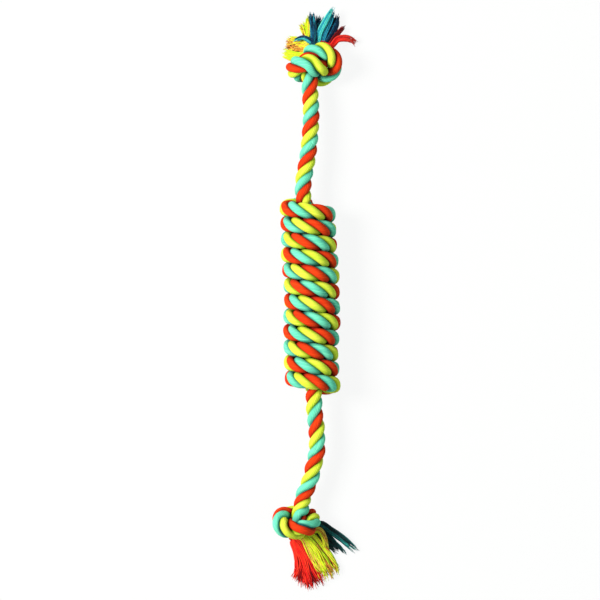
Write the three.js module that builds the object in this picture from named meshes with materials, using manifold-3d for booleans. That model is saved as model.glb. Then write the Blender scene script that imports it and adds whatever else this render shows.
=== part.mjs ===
// Rope dog toy, in millimetres, lying on its side along Y with +Z up.
// One length of three-strand cotton rope makes all of it. From the upper knot it runs through the
// barrel, winds back up round itself, and runs through the barrel again to the lower knot.
// Past each knot its strands come apart into tufts of yarn.
import * as THREE from 'three';
import Module from 'manifold-3d';
import { mergeVertices } from 'three/addons/utils/BufferGeometryUtils.js';

const wasm = await Module();
wasm.setup();

// Rope
const ROPE_D = 12;             // free rope, over its strands
const KNOT_ROPE_D = 9.6;       // rope squeezed in a tight knot
const ROPE_SIDES = 10;
const KNOT_STEP = 4.2;         // between the rings of a knot

// Barrel
const WHOLE_TURNS = 11;        // one half turn more makes the twelve rows seen from above
const TURN_PITCH = 10.9;
const TURN_GAP = 0.6;          // left between neighbouring turns
const BORE_D = 15.5;           // space the rope is wound round
const CORE_CLEARANCE = 0.4;    // round the two runs inside the turns, and between them
const CORE_END = 10.3;         // from the last turn's middle back to where the runs inside begin
const FLOOR_CUT = 1.2;         // flat worn under each turn
const STEPS_PER_TURN = 24;

// Tails and their bends
const UPPER_REACH = 102;       // from the last turn's middle to the knot's middle
const LOWER_REACH = 96.5;
const MOUTH_OUT = 8;           // from the last turn's middle to where a tail is round again
const BEND_GAP = 0.7;          // between a rounded rope end and the cup it turns in
const FIRST_BEND = 16;         // along the rope, from the barrel's mouth
const SECOND_BEND = 58;
const MOUTH_RISE = 1.5;        // of a tail over the barrel's axis where it comes out
const KNOT_FLOOR_CUT = 0.9;    // flat under a knot

// Tufts
const TUFT_REACH = 20;         // of a middling tuft past the rope's end
const TUFT_GAP = 0.4;          // from a knot's end to a tuft's root
const TUFT_SIDES = 8;

const turns = WHOLE_TURNS + 0.5;
const turnRadius = (BORE_D + ROPE_D) / 2;
const axisHeight = BORE_D / 2 + ROPE_D - FLOOR_CUT;
const barrelTop = turns * TURN_PITCH / 2;
const coreRadius = BORE_D / 2 - CORE_CLEARANCE;

// The two ends, each drawn with the barrel below it and its knot above.
// sway: a tail's middle, as sideways place and share of the way from the mouth to the knot.
// knot: the rope's middle in rope diameters from the knot's middle: right, up, towards the viewer.
// tufts: root across and up from the rope's end; bow and tip right and up from it, in tuft reaches;
// the tip's height over the floor; thicknesses.
const UPPER = {
  name: 'upper',
  knotAt: [6, UPPER_REACH],
  sway: [[-3.5, 0], [-2.8, 0.15], [-0.5, 0.3], [1.5, 0.45], [2.7, 0.6], [3.6, 0.74], [3.4, 0.88]],
  knot: [
    [-0.24, -1.5, 0], [-0.26, -0.95, 0.02], [-0.34, -0.4, -0.1], [-0.44, 0.16, -0.12], [-0.28, 0.66, 0.2],
    [0.25, 0.9, 0.5], [0.86, 0.64, 0.54], [1.24, 0.05, 0.3], [1.1, -0.54, -0.28], [0.5, -0.86, -0.76],
    [-0.26, -0.8, -0.94], [-0.92, -0.54, -0.74], [-1.2, -0.3, 0], [-0.86, -0.1, 0.58], [-0.31, -0.12, 0.92],
    [0.2, -0.32, 0.78], [0.42, -0.22, 0.22], [0.37, 0.2, -0.46], [0.16, 0.68, -0.58], [0.04, 1.02, -0.58],
  ],
  tufts: [
    { name: 'yellow_side', colour: 'yellow', root: [-4.3, 2.1], bow: [-0.6, -0.05], tip: [-1, -0.05],
      height: 3.4, rootD: 3.8, width: 15, depth: 6 },
    { name: 'yellow_top', colour: 'yellow', root: [-4.3, -2.1], bow: [-0.3, 0.4], tip: [-0.3, 0.9],
      height: 2.2, rootD: 3.8, width: 6, depth: 4 },
    { name: 'blue_top', colour: 'turquoise', root: [0, 2.3], bow: [0.02, 0.5], tip: [0.08, 1.12],
      height: 8.2, rootD: 3.8, width: 5, depth: 4 },
    { name: 'blue_side', colour: 'turquoise', root: [0, -2.3], bow: [0.05, 0.68], tip: [0.68, 1.2],
      height: 2.4, rootD: 3.8, width: 12, depth: 4.2 },
    { name: 'red_top', colour: 'red', root: [4.8, 2.3], bow: [0.85, 0.25], tip: [1.05, 0.65],
      height: 4.4, rootD: 3.8, width: 5, depth: 4 },
    { name: 'red_side', colour: 'red', root: [4.8, -2.3], bow: [0.95, 0.12], tip: [1.45, 0.05],
      height: 2.2, rootD: 3.8, width: 6, depth: 4 },
  ],
};
const LOWER = {
  name: 'lower',
  knotAt: [12.9, LOWER_REACH],
  sway: [[-1, 0], [-1.2, 0.16], [-2.2, 0.28], [-2.5, 0.43], [-2.3, 0.55], [0, 0.68], [3, 0.84]],
  knot: [
    [-0.42, -1.5, 0.05], [-0.3, -0.9, 0.15], [-0.28, -0.4, -0.13], [-0.37, 0.08, -0.25], [-0.25, 0.55, 0.02],
    [0.22, 0.78, 0.43], [0.8, 0.63, 0.8], [1.18, 0.03, 0.88], [1.08, -0.52, 0.28], [0.55, -0.82, -0.53],
    [-0.2, -0.87, -0.92], [-0.88, -0.65, -0.67], [-1.08, -0.28, 0.17], [-0.78, 0.1, 0.82], [-0.27, 0.22, 1.18],
    [0.2, 0, 0.95], [0.42, 0.02, 0.27], [0.4, 0.05, -0.43], [0.26, 0.46, -0.87], [-0.12, 0.85, -0.85],
  ],
  tufts: [
    { name: 'teal_side', colour: 'turquoise', root: [-4.3, 2.1], bow: [-0.67, -0.85], tip: [-1.97, 0.65],
      height: 3, rootD: 3.8, width: 6, depth: 4 },
    { name: 'teal_top', colour: 'turquoise', root: [-4.3, -2.1], bow: [-0.79, -0.4], tip: [-1.45, 0.7],
      height: 2.2, rootD: 3.8, width: 5, depth: 4 },
    { name: 'yellow_end', colour: 'yellow', root: [0, 2.1], bow: [-0.58, 0.62], tip: [-1.1, 1.4],
      height: 3.4, rootD: 3.8, width: 11, depth: 6 },
    { name: 'red_end', colour: 'red', root: [4.9, -1.5], bow: [0.12, 0.8], tip: [-0.3, 1.7],
      height: 3.4, rootD: 4.2, width: 16, depth: 6 },
  ],
};

const PAINT = {
  red: { color: 0xe73f1c, roughness: 0.9, metalness: 0 },
  yellow: { color: 0xdff330, roughness: 0.9, metalness: 0 },
  turquoise: { color: 0x69ddbc, roughness: 0.9, metalness: 0 },
};

function named(name, geometry, paint) {
  const mesh = new THREE.Mesh(geometry, new THREE.MeshStandardMaterial(PAINT[paint]));
  mesh.name = name;
  return mesh;
}

// A closed solid through rings that all have the same number of points.
function loft(rings) {
  const sides = rings[0].length;
  const points = rings.flat();
  const ends = [rings[0], rings[rings.length - 1]].map((ring) => (
    ring.reduce((sum, p) => sum.add(p), new THREE.Vector3()).divideScalar(sides)
  ));
  const start = points.length;
  points.push(...ends);
  const faces = [];
  for (let j = 0; j < sides; j += 1) {
    const k = (j + 1) % sides;
    for (let i = 0; i + 1 < rings.length; i += 1) {
      const a = i * sides;
      const b = a + sides;
      faces.push([a + j, a + k, b + k], [a + j, b + k, b + j]);
    }
    const last = start - sides;
    faces.push([start, k, j], [start + 1, last + j, last + k]);
  }
  const volume = faces.reduce((sum, [a, b, c]) => (
    sum + points[a].dot(points[b].clone().cross(points[c]))
  ), 0);
  const outward = volume > 0 ? faces : faces.map(([a, b, c]) => [a, c, b]);
  const geometry = new THREE.BufferGeometry();
  geometry.setAttribute('position', new THREE.Float32BufferAttribute(points.flatMap((p) => p.toArray()), 3));
  geometry.setIndex(outward.flat());
  return geometry;
}

// A copy with all of it below a height cut away.
function cutBelow(geometry, height) {
  const solid = (shape) => {
    const bare = shape.clone();
    bare.deleteAttribute('normal');
    bare.deleteAttribute('uv');
    const welded = mergeVertices(bare);
    return new wasm.Manifold(new wasm.Mesh({
      numProp: 3,
      vertProperties: new Float32Array(welded.attributes.position.array),
      triVerts: new Uint32Array(welded.index.array),
    }));
  };
  geometry.computeBoundingBox();
  const size = geometry.boundingBox.getSize(new THREE.Vector3());
  const middle = geometry.boundingBox.getCenter(new THREE.Vector3());
  const block = new THREE.BoxGeometry(size.x + 20, size.y + 20, size.z);
  block.translate(middle.x, middle.y, height - size.z / 2);
  const mesh = solid(geometry).subtract(solid(block)).getMesh();
  const cut = new THREE.BufferGeometry();
  cut.setAttribute('position', new THREE.Float32BufferAttribute(mesh.vertProperties, 3));
  cut.setIndex(new THREE.Uint32BufferAttribute(mesh.triVerts, 1));
  return cut;
}

// A direction made square to a line's direction.
function squared(direction, along) {
  return direction.clone().addScaledVector(along, -direction.dot(along)).normalize();
}

// Places along a line of points, with a side direction carried from the first to the last.
function stations(points, side) {
  let u = side.clone();
  return points.map((at, i) => {
    const from = points[Math.max(i - 1, 0)];
    const to = points[Math.min(i + 1, points.length - 1)];
    const along = to.clone().sub(from).normalize();
    u = squared(u, along);
    return { at, along, u, v: along.clone().cross(u) };
  });
}

function ringAt(station, outline) {
  return outline.map(([a, b]) => (
    station.at.clone().addScaledVector(station.u, a).addScaledVector(station.v, b)
  ));
}

function oval(sides, a, b, turn = 0) {
  return Array.from({ length: sides }, (_, j) => {
    const angle = turn + 2 * Math.PI * j / sides;
    return [a * Math.cos(angle), b * Math.sin(angle)];
  });
}

// An eight-sided outline with flats, half as wide and high as given.
function octagon(a, b) {
  const grow = 1 / Math.cos(Math.PI / 8);
  return oval(8, a * grow, b * grow, Math.PI / 8);
}

// Round rings on one straight axis through a point: pairs of place along it and radius.
function coaxial(at, along, side, sides, profile) {
  const u = squared(side, along);
  const v = along.clone().cross(u);
  return profile.map(([place, radius]) => (
    ringAt({ at: at.clone().addScaledVector(along, place), u, v }, oval(sides, radius, radius))
  ));
}

// Profile of the cup in a rope's end, from its rim inwards, and of the rounded end that turns in it.
function cupProfile(radius) {
  const reach = radius + BEND_GAP;
  const rim = Math.asin(radius / reach);
  return [1, 0.75, 0.5, 0.25].map((share) => [-reach * Math.cos(rim * share), reach * Math.sin(rim * share)]);
}

function ballProfile(radius) {
  return [20, 40, 60, 75].map((degrees) => {
    const angle = THREE.MathUtils.degToRad(degrees);
    return [radius * Math.sin(angle), radius * Math.cos(angle)];
  });
}

function leastGap(rings, apart) {
  let least = Infinity;
  for (let i = 0; i < rings.length; i += 1) {
    for (let j = i + apart; j < rings.length; j += 1) {
      rings[i].forEach((p) => rings[j].forEach((q) => {
        least = Math.min(least, p.distanceTo(q));
      }));
    }
  }
  return least.toFixed(2);
}

// Barrel: the turns, whose two ends go over the last turn and into the bore.
function winding() {
  const outline = octagon(ROPE_D / 2, (TURN_PITCH - TURN_GAP) / 2);
  const helix = [];
  const steps = Math.round(turns * STEPS_PER_TURN);
  for (let i = 0; i <= steps; i += 1) {
    const angle = -Math.PI / 2 + 2 * Math.PI * (turns - i / STEPS_PER_TURN);
    const out = new THREE.Vector3(Math.sin(angle), 0, Math.cos(angle));
    const at = out.clone().multiplyScalar(turnRadius);
    at.y = (i / STEPS_PER_TURN - turns / 2) * TURN_PITCH;
    const along = new THREE.Vector3(-out.z * turnRadius, TURN_PITCH / (2 * Math.PI), out.x * turnRadius);
    along.normalize();
    helix.push({ at, along, u: out, v: along.clone().cross(out) });
  }
  const last = helix[steps];
  const inside = coreRadius / 2;
  const slim = inside - CORE_CLEARANCE;
  const coreTop = barrelTop - CORE_END;
  const tuck = new THREE.CatmullRomCurve3([
    helix[steps - 2].at,
    last.at,
    new THREE.Vector3(-0.75 * turnRadius, barrelTop + 0.18 * TURN_PITCH, -0.68 * turnRadius),
    new THREE.Vector3(-0.22 * turnRadius, barrelTop + 0.36 * TURN_PITCH, -0.85 * turnRadius),
    new THREE.Vector3(0.1 * turnRadius, barrelTop + 0.2 * TURN_PITCH, -0.57 * turnRadius),
    new THREE.Vector3(0, coreTop + 2 * slim, -inside),
    new THREE.Vector3(0, coreTop + slim, -inside),
    new THREE.Vector3(0, coreTop, -inside),
  ], false, 'centripetal');
  const reach = tuck.getLength();
  const from = helix[steps - 2].at.distanceTo(last.at);
  const places = Array.from({ length: 15 }, (_, i) => (
    tuck.getPointAt(THREE.MathUtils.lerp(from / reach, 1, i / 14))
  ));
  const topRings = stations(places, last.u).slice(1).map((station, i) => {
    const share = THREE.MathUtils.smoothstep(i / 13, 0.1, 0.7);
    return ringAt(station, octagon(
      THREE.MathUtils.lerp(ROPE_D / 2, slim, share),
      THREE.MathUtils.lerp((TURN_PITCH - TURN_GAP) / 2, slim, share),
    ));
  });
  // The lower end is the upper one turned half round the upright middle line.
  const bottomRings = topRings.map((ring) => {
    const turned = ring.map((p) => new THREE.Vector3(-p.x, -p.y, p.z));
    return turned.map((_, j) => turned[(2 * turned.length - 1 - j) % turned.length]);
  }).reverse();
  const rings = [...bottomRings, ...helix.map((station) => ringAt(station, outline)), ...topRings];
  console.log(`winding: least gap to itself ${leastGap(rings, 18)} mm`);
  const geometry = loft(rings);
  geometry.translate(0, 0, axisHeight);
  return named('winding', cutBelow(geometry, 0), 'turquoise');
}

// Rope line of one end, from the barrel's mouth through the knot.
function ropeLine(end) {
  const [knotX, knotUp] = end.knotAt;
  const lowest = Math.min(...end.knot.map((p) => p[2]));
  const knotZ = KNOT_ROPE_D / 2 - lowest * ROPE_D - KNOT_FLOOR_CUT;
  const mouthZ = axisHeight + MOUTH_RISE;
  const knotStart = end.knot[0];
  const startUp = knotUp + knotStart[1] * ROPE_D;
  const tail = end.sway.map(([x, share]) => {
    const up = THREE.MathUtils.lerp(MOUTH_OUT, startUp, share);
    return new THREE.Vector3(x, barrelTop + up, THREE.MathUtils.lerp(mouthZ, knotZ, share));
  });
  const knot = end.knot.map(([x, y, z]) => (
    new THREE.Vector3(knotX + x * ROPE_D, barrelTop + knotUp + y * ROPE_D, knotZ + z * ROPE_D)
  ));
  const line = new THREE.CatmullRomCurve3([...tail, ...knot], false, 'centripetal');
  line.arcLengthDivisions = 2000;
  return line;
}

// Run of rope inside the barrel, and its stub outside up to the first bend.
function coreRun(end, line) {
  const length = line.getLength();
  const bend = line.getPointAt(FIRST_BEND / length);
  const along = line.getTangentAt(FIRST_BEND / length);
  const mouth = line.getPointAt(0);
  const side = new THREE.Vector3(1, 0, 0);
  const half = ROPE_D / 2;
  const circle = oval(ROPE_SIDES, half, half, Math.PI / ROPE_SIDES);
  const squeezed = barrelTop;
  const runEnd = barrelTop - CORE_END - 0.3;
  const rings = [];
  const within = 12;
  for (let i = 0; i <= within; i += 1) {
    const y = THREE.MathUtils.lerp(-runEnd, runEnd, i / within);
    const turn = Math.PI * i / within - Math.PI;
    rings.push(halfRound(y, turn));
  }
  for (let i = 1; i <= 5; i += 1) {
    const y = THREE.MathUtils.lerp(runEnd, squeezed, i / 5);
    rings.push(halfRound(y, 0));
  }
  const flat = halfRound(0, 0);
  for (let i = 1; i <= 5; i += 1) {
    const share = i / 5;
    const swell = THREE.MathUtils.smoothstep(share, 0, 1);
    const y = THREE.MathUtils.lerp(squeezed, mouth.y, share);
    rings.push(flat.map((p, j) => new THREE.Vector3(
      THREE.MathUtils.lerp(p.x, mouth.x + circle[j][0], swell),
      y,
      THREE.MathUtils.lerp(p.z, mouth.z + circle[j][1], swell),
    )));
  }
  [0.3, 0.6].forEach((share) => {
    const at = line.getPointAt(FIRST_BEND * share / length);
    const u = squared(side, line.getTangentAt(FIRST_BEND * share / length));
    const v = u.clone().cross(line.getTangentAt(FIRST_BEND * share / length));
    rings.push(ringAt({ at, u, v }, circle));
  });
  const u = squared(side, along);
  const v = u.clone().cross(along);
  cupProfile(half).forEach(([place, radius]) => {
    const at = bend.clone().addScaledVector(along, place);
    rings.push(ringAt({ at, u, v }, oval(ROPE_SIDES, radius, radius, Math.PI / ROPE_SIDES)));
  });
  return named(`${end.name}_core_run`, loft(rings), 'turquoise');
}

// Half of the bore's section, at one place along the barrel, turned about its axis.
function halfRound(y, turn) {
  return oval(ROPE_SIDES, coreRadius, coreRadius, Math.PI / ROPE_SIDES).map(([a, b]) => {
    const up = Math.max(b, CORE_CLEARANCE / 2);
    const x = a * Math.cos(turn) - up * Math.sin(turn);
    const z = a * Math.sin(turn) + up * Math.cos(turn);
    return new THREE.Vector3(x, y, axisHeight + z);
  });
}

// Stretch of tail between the two bends, rounded at both ends.
function tailLink(end, line) {
  const length = line.getLength();
  const side = new THREE.Vector3(1, 0, 0);
  const half = ROPE_D / 2;
  const at = (place) => line.getPointAt(place / length);
  const along = (place) => line.getTangentAt(place / length);
  const ball = ballProfile(half);
  const behind = ball.map(([place, radius]) => [-place, radius]).reverse();
  const rings = coaxial(at(FIRST_BEND), along(FIRST_BEND), side, ROPE_SIDES, behind);
  for (let i = 0; i <= 7; i += 1) {
    const place = THREE.MathUtils.lerp(FIRST_BEND, SECOND_BEND, i / 7);
    rings.push(...coaxial(at(place), along(place), side, ROPE_SIDES, [[0, half]]));
  }
  rings.push(...coaxial(at(SECOND_BEND), along(SECOND_BEND), side, ROPE_SIDES, ball));
  return named(`${end.name}_tail`, loft(rings), 'yellow');
}

// Knot, with the end of the tail that leads into it.
function knotted(end, line) {
  const length = line.getLength();
  const half = ROPE_D / 2;
  const tight = KNOT_ROPE_D / 2;
  const side = new THREE.Vector3(1, 0, 0);
  const bend = line.getPointAt(SECOND_BEND / length);
  const along = line.getTangentAt(SECOND_BEND / length);
  const cup = cupProfile(half).map(([place, radius]) => [-place, radius]).reverse();
  const rings = coaxial(bend, along, side, ROPE_SIDES, cup);
  const start = SECOND_BEND + 0.7 * half;
  const count = Math.round((length - start) / KNOT_STEP);
  const places = Array.from({ length: count + 1 }, (_, i) => (
    line.getPointAt((start + (length - start) * i / count) / length)
  ));
  const squeeze = end.knotAt[1] - ROPE_D - MOUTH_OUT - SECOND_BEND;
  const tube = stations(places, side).map((station, i) => {
    const share = THREE.MathUtils.smoothstep((length - start) * i / count, 0.2 * squeeze, squeeze);
    const radius = THREE.MathUtils.lerp(half, tight, share);
    return ringAt(station, oval(ROPE_SIDES, radius, radius));
  });
  console.log(`${end.name}_knot: least gap to itself ${leastGap(tube, 5)} mm`);
  rings.push(...tube);
  return named(`${end.name}_knot`, cutBelow(loft(rings), 0), 'red');
}

// Tufts past the knot, each with a rounded root, spreading to its tip.
function tufts(end, line) {
  const last = line.getPointAt(1);
  const along = line.getTangentAt(1);
  const level = new THREE.Vector3(along.x, along.y, 0).normalize();
  const across = new THREE.Vector3(level.y, -level.x, 0);
  const up = new THREE.Vector3(0, 0, 1);
  return end.tufts.map((tuft) => {
    const half = tuft.rootD / 2;
    const root = last.clone().addScaledVector(across, tuft.root[0]).addScaledVector(up, tuft.root[1]);
    root.addScaledVector(level, half + TUFT_GAP);
    const away = ([right, ahead], height) => (
      new THREE.Vector3(last.x + right * TUFT_REACH, last.y + ahead * TUFT_REACH, height)
    );
    const tip = away(tuft.tip, tuft.height);
    const bow = away(tuft.bow, (root.z + tip.z) / 2 + 1);
    const curve = new THREE.QuadraticBezierCurve3(root, bow, tip);
    const places = Array.from({ length: 8 }, (_, i) => curve.getPointAt(i / 7));
    const first = curve.getTangentAt(0);
    const rings = coaxial(root, first, up, TUFT_SIDES, ballProfile(half).map(([a, r]) => [-a, r]).reverse());
    stations(places, up).forEach((station, i) => {
      const share = i / 7;
      const spread = share * share * (3 - 2 * share);
      const deep = THREE.MathUtils.lerp(half, tuft.depth / 2, spread);
      const wide = THREE.MathUtils.lerp(half, tuft.width / 2, spread);
      rings.push(ringAt(station, oval(TUFT_SIDES, deep, wide)));
    });
    const end0 = stations(places, up)[7];
    const beyond = { ...end0, at: tip.clone().addScaledVector(end0.along, tuft.depth / 3) };
    rings.push(ringAt(beyond, oval(TUFT_SIDES, 0.28 * tuft.depth, 0.36 * tuft.width)));
    const hinge = root.toArray().map((c) => c.toFixed(2)).join(', ');
    const heading = THREE.MathUtils.radToDeg(Math.atan2(tip.y - root.y, tip.x - root.x)).toFixed(1);
    console.log(`${end.name}_${tuft.name}: root at ${hinge}, heading ${heading}`);
    return named(`${end.name}_${tuft.name}`, loft(rings), tuft.colour);
  });
}

function ropeEnd(end) {
  const line = ropeLine(end);
  const length = line.getLength();
  [FIRST_BEND, SECOND_BEND].forEach((place) => {
    const at = line.getPointAt(place / length).toArray().map((c) => c.toFixed(2)).join(', ');
    console.log(`${end.name} bend at ${at} of ${length.toFixed(1)} mm of rope`);
  });
  const group = new THREE.Group();
  group.add(coreRun(end, line), tailLink(end, line), knotted(end, line), ...tufts(end, line));
  return group;
}

const toy = new THREE.Group();
toy.name = 'rope_dog_toy';
const lowerEnd = ropeEnd(LOWER);
lowerEnd.rotation.z = Math.PI;
toy.add(winding(), ropeEnd(UPPER), lowerEnd);

export default toy;
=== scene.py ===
import math

import bpy
import numpy as np
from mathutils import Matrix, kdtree


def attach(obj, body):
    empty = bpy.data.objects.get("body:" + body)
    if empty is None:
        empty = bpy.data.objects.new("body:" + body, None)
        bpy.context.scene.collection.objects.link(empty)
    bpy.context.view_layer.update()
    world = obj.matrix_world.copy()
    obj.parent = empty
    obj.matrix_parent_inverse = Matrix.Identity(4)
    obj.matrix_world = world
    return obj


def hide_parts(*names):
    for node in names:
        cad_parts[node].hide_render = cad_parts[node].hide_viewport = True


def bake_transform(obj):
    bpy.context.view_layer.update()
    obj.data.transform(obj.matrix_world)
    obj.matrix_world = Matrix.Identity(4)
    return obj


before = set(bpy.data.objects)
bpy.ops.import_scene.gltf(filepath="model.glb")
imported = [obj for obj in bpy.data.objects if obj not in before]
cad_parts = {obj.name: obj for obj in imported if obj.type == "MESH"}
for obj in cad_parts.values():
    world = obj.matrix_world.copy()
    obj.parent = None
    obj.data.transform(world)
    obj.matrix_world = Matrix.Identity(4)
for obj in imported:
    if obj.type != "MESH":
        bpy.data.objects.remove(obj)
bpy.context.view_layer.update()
scene = bpy.context.scene
rng = np.random.default_rng(11)
MM = 0.001


def add_object(name, data):
    made = bpy.data.objects.new(name, data)
    scene.collection.objects.link(made)
    return made


# Rope and barrel, in millimetres, as in the part's source.
ROPE = 12.0
PITCH = 10.9
TURNS = 11.5
BORE = 15.5
FLOOR_CUT = 1.2
CORE_END = 10.3
MOUTH_OUT = 8.0
MOUTH_RISE = 1.5
FIRST_BEND = 16.0
SECOND_BEND = 58.0
KNOT_SOLID = 9.6
KNOT_FLOOR_CUT = 0.9
TUFT_REACH = 20.0
ROOT_OUT = 2.3
AXIS = BORE / 2 + ROPE - FLOOR_CUT
MOUTH = AXIS + MOUTH_RISE
TOP = TURNS * PITCH / 2
TURN_RADIUS = (BORE + ROPE) / 2
MIDDLE = (FIRST_BEND + SECOND_BEND) / 2

# Camera straight above, turned a little so that the barrel leans as it does in the photograph, with a lens
# that makes the rope as many pixels wide as it is there. Places here are in metres.
PHOTO_SIDE = 600
ROPE_PIXELS = 17
TILT = math.radians(1.29)
DISTANCE = 2.2
LOOK_AT = (-0.00726, -0.00244, 0.018)
SENSOR = 36
camera = add_object("camera", bpy.data.cameras.new("camera"))
camera.data.sensor_width = SENSOR
camera.data.lens = SENSOR * DISTANCE / (PHOTO_SIDE * ROPE / ROPE_PIXELS * MM)
camera.data.clip_end = 20
camera.rotation_euler = (0, 0, -TILT)
camera.location = (LOOK_AT[0], LOOK_AT[1], LOOK_AT[2] + DISTANCE)
scene.camera = camera

# Each end is drawn with the barrel below it and its knot above; the lower one is then turned half round.
# knot_at: the knot's middle, right of the barrel's axis and ahead of its top.
# sway: places of the tail right of that axis, at shares of the way to the knot.
# knot: places of its rope right, ahead and up from its middle, in rope widths.
# snug: how far the soft rope pulls together in its knot, across, along and up.
# ease: how far it lies beside some of the knot's places, counted from 0, in rope widths.
# girth: width of the rope at places along it from the mouth.
# lay: turns of its strands, counted at such places.
# tufts: a root as in the part's source, and locks of yarn that lead from it through a way of places right
# and ahead of the rope's end, in tuft reaches, to a height. Tones go from left to right, 0 dark and 1 pale,
# partly the yarns' own colours and partly painted light and shade. Some locks mix their tones more, or have
# a rise on their way, a narrow point, a pale tip or a root that is shifted.
UPPER = {
    "name": "upper",
    "turn": 1,
    "knot_at": (6.0, 102.0),
    "sway": [(-3.5, 0), (-2.8, 0.15), (-0.5, 0.3), (1.5, 0.45), (2.7, 0.6), (3.6, 0.74), (3.4, 0.88)],
    "knot": [
        (-0.24, -1.5, 0), (-0.26, -0.95, 0.02), (-0.34, -0.4, -0.1), (-0.44, 0.16, -0.12),
        (-0.28, 0.66, 0.2), (0.25, 0.9, 0.5), (0.86, 0.64, 0.54), (1.24, 0.05, 0.3), (1.1, -0.54, -0.28),
        (0.5, -0.86, -0.76), (-0.26, -0.8, -0.94), (-0.92, -0.54, -0.74), (-1.2, -0.3, 0),
        (-0.86, -0.1, 0.58), (-0.31, -0.12, 0.92), (0.2, -0.32, 0.78), (0.42, -0.22, 0.22),
        (0.37, 0.2, -0.46), (0.16, 0.68, -0.58), (0.04, 1.02, -0.58),
    ],
    "snug": (0.95, 0.98, 0.97),
    "ease": {4: (0.1, -0.08, 0), 5: (0.18, -0.16, 0), 6: (0.14, -0.14, 0), 7: (0.08, -0.06, 0),
             13: (0, 0.03, 0), 14: (0.02, 0.05, 0), 15: (0.04, -0.06, 0), 16: (0.07, -0.08, 0)},
    "girth": [(72, 12), (86, 11.7), (168, 11.7), (180, 13.0), (199, 13.0), (208, 11.4)],
    "lay": [(-130, -4.65), (3, 0.78), (27.5, 1.77), (52, 2.76), (74.5, 3.75), (112, 4.99), (129, 5.58),
            (148.5, 6.3), (181.5, 7.64), (191.5, 7.88), (201, 8.12), (229, 8.88)],
    "tufts": [
        {"name": "yellow_side", "colour": "yellow", "root": (-4.3, 2.1), "locks": [
            {"way": [(-0.3, -0.33), (-0.66, -0.34), (-1.08, -0.2)], "height": 7.0, "width": 7.6,
             "depth": 5.4, "tones": (0.8, 0.95, 1.0), "curl": 0.2},
            {"way": [(-0.35, -0.06), (-0.63, 0.0), (-0.98, 0.12)], "height": 4.0, "width": 9.0,
             "depth": 5.0, "tones": (0.55, 0.3, 0.4), "curl": 1.8, "mixed": 0.2},
            {"way": [(-0.3, 0.1), (-0.6, 0.2), (-0.93, 0.3)], "height": 3.0, "width": 7.0, "depth": 4.0,
             "tones": (0.45, 0.6, 0.75), "curl": 1.2, "mixed": 0.22},
        ]},
        {"name": "yellow_top", "colour": "yellow", "root": (-4.3, -2.1), "locks": [
            {"way": [(-0.2, 0.25), (-0.27, 0.55), (-0.4, 0.86)], "height": 2.2, "width": 6.5, "depth": 3.6,
             "tones": (0.5, 0.7, 0.95), "curl": 0.7, "mixed": 0.22},
            {"way": [(-0.2, 0.25), (-0.15, 0.6), (-0.15, 1.1)], "height": 2.6, "width": 5.0, "depth": 3.4,
             "tones": (0.8, 0.95, 1.0), "curl": 0.4},
        ]},
        {"name": "blue_top", "colour": "blue", "root": (0, 2.3), "locks": [
            {"way": [(0.0, 0.3), (0.0, 0.65), (-0.06, 1.2)], "height": 8.2, "width": 4.4, "depth": 4.0,
             "tones": (0.4, 0.2, 0.15), "curl": 0.8, "mixed": 0.28},
            {"way": [(0.06, 0.3), (0.14, 0.65), (0.25, 1.08)], "height": 3.0, "width": 5.0, "depth": 3.6,
             "tones": (0.2, 0.4, 0.65), "curl": 0.8, "mixed": 0.3},
            {"way": [(-0.12, 0.2), (-0.36, 0.32), (-0.7, 0.24)], "height": 11.5, "width": 2.6, "depth": 2.4,
             "tones": (0.62, 0.45, 0.4), "curl": 0.4},
        ]},
        {"name": "blue_side", "colour": "blue", "root": (0, -2.3), "locks": [
            {"way": [(0.13, 0.15), (0.23, 0.5), (0.42, 0.86), (0.7, 1.32)], "height": 10.0, "width": 5.4,
             "depth": 3.6, "tones": (1.0, 0.95, 0.75), "curl": 0.2, "point": 0.45},
            {"way": [(0.24, 0.15), (0.42, 0.5), (0.58, 0.84), (0.72, 1.22)], "height": 7.0, "width": 5.5,
             "depth": 4.0, "tones": (0.7, 0.5, 0.35), "curl": 0.4, "point": 0.5, "mixed": 0.2},
            {"way": [(0.36, 0.15), (0.6, 0.42), (0.76, 0.74), (0.86, 1.1)], "height": 5.0, "width": 6.5,
             "depth": 4.0, "tones": (0.15, 0.05, 0.02), "curl": 0.4, "point": 0.4},
        ]},
        {"name": "red_top", "colour": "red", "root": (4.8, 2.3), "locks": [
            {"way": [(0.46, -0.08), (0.84, 0.42), (1.1, 0.71)], "height": 4.4, "width": 4.6, "depth": 3.6,
             "tones": (0.3, 0.15, 0.1), "curl": 0.4, "point": 0.5, "shift": (2.2, -0.6, -2.6)},
        ]},
        {"name": "red_side", "colour": "red", "root": (4.8, -2.3), "locks": [
            {"way": [(0.6, 0.0), (0.85, 0.24), (1.1, 0.28), (1.36, 0.22), (1.5, 0.1)], "height": 2.2,
             "width": 4.2, "depth": 3.4, "tones": (0.85, 1.0, 0.9), "curl": 0.8, "rise": 5.0},
        ]},
    ],
}
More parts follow.
